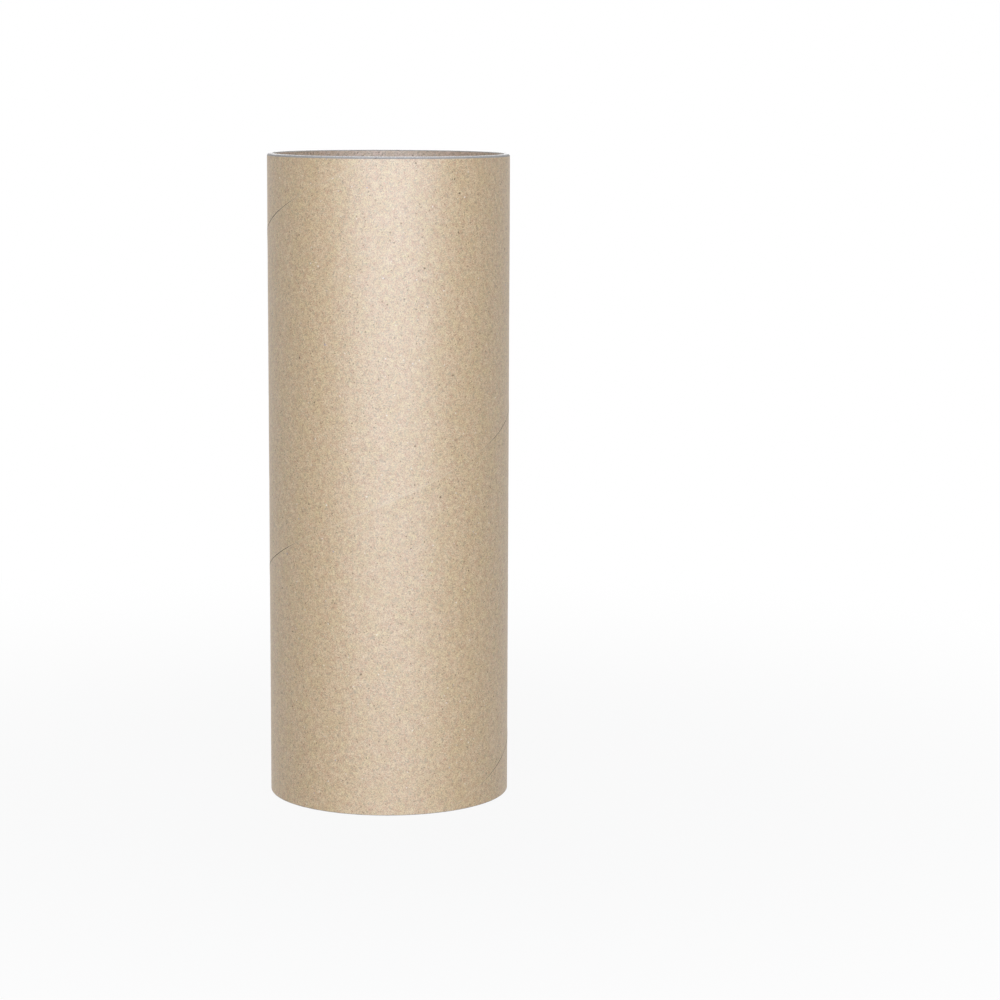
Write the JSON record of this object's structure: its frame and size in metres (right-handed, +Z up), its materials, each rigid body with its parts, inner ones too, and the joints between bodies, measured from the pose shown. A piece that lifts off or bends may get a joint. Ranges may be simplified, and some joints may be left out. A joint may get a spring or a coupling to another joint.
{
  "type": "paper core",
  "caption": "Open-ended spiral-wound paper tube with a grey board wall, brown kraft plies outside and in the bore, and knife-cut ends, the head bevelled more; a core for winding paper, film or tape on.",
  "frame": {"origin": "centre of the foot, on the surface that the core stands on", "axes": "+Z up along the tube's axis; -Y is the side that the picture shows"},
  "size_m": [0.1076, 0.1076, 0.287],
  "materials": {
    "kraft_outside": "matte",
    "grey_board": "matte",
    "kraft_inside": "matte"
  },
  "bodies": {
    "root": {"outer_ply": "kraft_outside", "board_wall": "grey_board", "inner_ply": "kraft_inside"}
  },
  "joints": []
}
